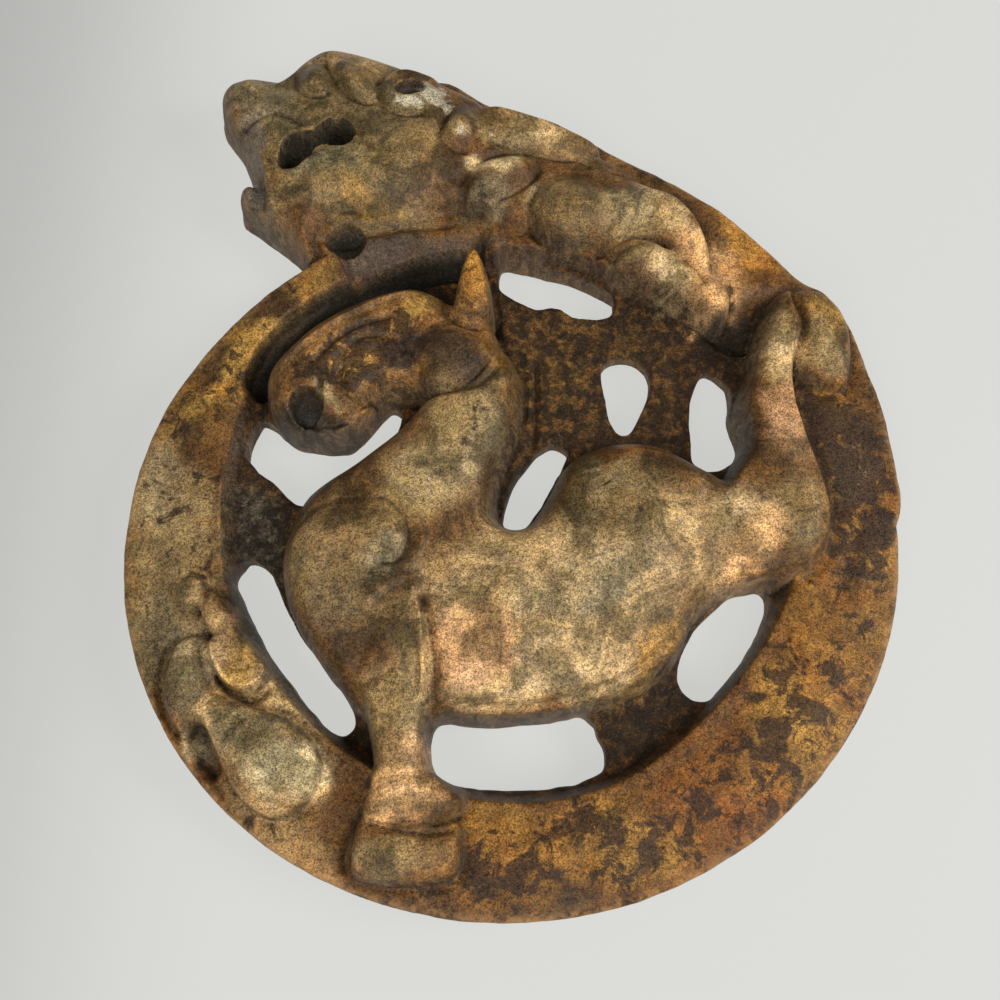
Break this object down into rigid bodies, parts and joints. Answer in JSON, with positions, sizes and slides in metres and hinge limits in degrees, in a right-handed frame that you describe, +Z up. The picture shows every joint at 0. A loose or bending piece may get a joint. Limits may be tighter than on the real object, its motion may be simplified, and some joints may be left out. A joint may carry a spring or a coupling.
{
  "type": "openwork stone disc",
  "caption": "Carved openwork stone disc: an oval ring around a horse with turned head, and a second beast whose head rises past the upper rim.",
  "frame": {"origin": "centre of the disc's outer box, on the flat back that it lies on", "axes": "+Z up out of the carved face, +Y from the horse's foreleg towards the beast's head, +X to the right of someone who looks at the face with the beast's head at the top"},
  "size_m": [0.1534, 0.1896, 0.0202],
  "materials": {
    "stone": "semi-polished mottled brown, ochre and grey-green stone, with dark grainy recesses"
  },
  "bodies": {
    "root": {"carved_disc": "stone"}
  },
  "joints": []
}
